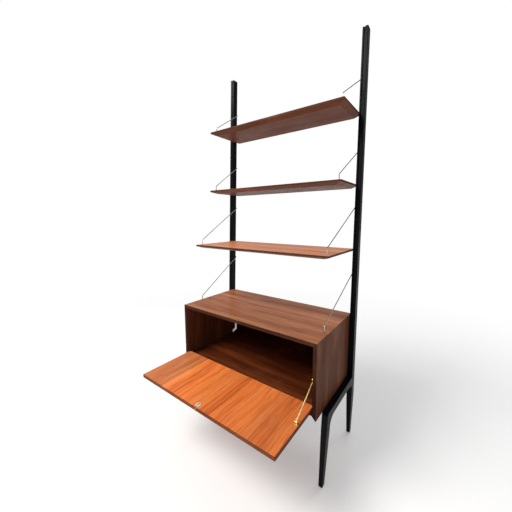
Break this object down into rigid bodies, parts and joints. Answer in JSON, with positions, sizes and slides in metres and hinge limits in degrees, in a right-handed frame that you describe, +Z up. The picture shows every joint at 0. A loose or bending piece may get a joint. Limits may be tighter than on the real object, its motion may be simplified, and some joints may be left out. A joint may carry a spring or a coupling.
{
  "type": "ladder shelf",
  "caption": "Free-standing ladder shelf: raked uprights with front legs, shelves hung on wires, and a low cabinet with a drop flap on a sliding stay and a lock.",
  "frame": {"origin": "on the floor, under the middle of the outline in X and Y, with the flap open as at rest", "axes": "+X to the right for somebody who faces the shelf, +Y to the back, +Z up; the flap opens towards -Y"},
  "size_m": [0.86, 0.7272, 1.99],
  "materials": {
    "teak_shelf": "oiled teak veneer, grain along the shelf",
    "teak_case": "oiled teak veneer, grain round the case",
    "teak_inside": "plain teak veneer inside the case",
    "teak_flap": "oiled teak veneer in leaves, grain front to back",
    "black_wood": "black lacquer over solid wood, half gloss",
    "beech": "plain beech dowels",
    "wire_steel": "bright drawn steel wire",
    "steel": "plain steel",
    "brass": "polished brass, a little dulled"
  },
  "bodies": {
    "frame": {"cabinet_back": "teak_inside", "cabinet_floor": "teak_inside", "cabinet_pins": "steel", "cabinet_side_left": "teak_case", "cabinet_side_right": "teak_case", "cabinet_top": "teak_case", "flap_pivot_left": "steel", "flap_pivot_right": "steel", "flap_stop": "steel", "flap_stop_screws": "steel", "front_leg_left": "black_wood", "front_leg_right": "black_wood", "hanger_cabinet_left": "wire_steel", "hanger_cabinet_right": "wire_steel", "hanger_lower_left": "wire_steel", "hanger_lower_right": "wire_steel", "hanger_middle_left": "wire_steel", "hanger_middle_right": "wire_steel", "hanger_sockets": "steel", "hanger_top_left": "wire_steel", "hanger_top_right": "wire_steel", "leg_dowels_left": "beech", "leg_dowels_right": "beech", "lock_strike": "brass", "shelf_lower": "teak_shelf", "shelf_middle": "teak_shelf", "shelf_pins": "steel", "shelf_top": "teak_shelf", "stay_bracket": "brass", "stay_bracket_screws": "brass", "strike_screws": "brass", "upright_left": "black_wood", "upright_right": "black_wood"},
    "flap": {"flap": "teak_flap", "flap_bush_left": "brass", "flap_bush_right": "brass", "stay_foot": "brass", "stay_foot_pin": "brass", "stay_foot_screws": "brass", "lock_case": "brass", "lock_rose": "brass", "lock_sleeve": "brass", "lock_escutcheon": "brass"},
    "stay_rod": {"stay_rod": "brass", "stay_stop": "brass"},
    "stay_guide": {"stay_guide": "brass"},
    "lock_plug": {"lock_plug": "brass"},
    "lock_bolt": {"lock_bolt": "steel"}
  },
  "joints": [
    {"name": "flap_hinge", "type": "hinge", "parent": "frame", "child": "flap", "pos_m": [0, -0.09787, 0.3458], "axis": [-1, 0, 0], "range_deg": [0, 90]},
    {"name": "stay_rod_pivot", "type": "hinge", "parent": "flap", "child": "stay_rod", "pos_m": [0.3735, -0.20798, 0.3663], "axis": [-1, 0, 0], "range_deg": [-45, 0]},
    {"name": "stay_guide_pivot", "type": "hinge", "parent": "frame", "child": "stay_guide", "pos_m": [0.3735, -0.0641, 0.45259], "axis": [-1, 0, 0], "range_deg": [0, 45]},
    {"name": "lock_bolt_slide", "type": "slide", "parent": "flap", "child": "lock_bolt", "axis": [0, -1, 0], "range_m": [0, 0.007]},
    {"name": "lock_turn", "type": "hinge", "parent": "flap", "child": "lock_plug", "pos_m": [0, -0.34957, 0.3498], "axis": [0, 0, 1], "range_deg": [0, 180.1]}
  ],
  "couplings": [
    {"joint": "stay_rod_pivot", "follows": "flap_hinge", "ratio": -0.5},
    {"joint": "stay_guide_pivot", "follows": "flap_hinge", "ratio": 0.5},
    {"joint": "lock_turn", "follows": "lock_bolt_slide", "rad_per_m": 448.8}
  ]
}
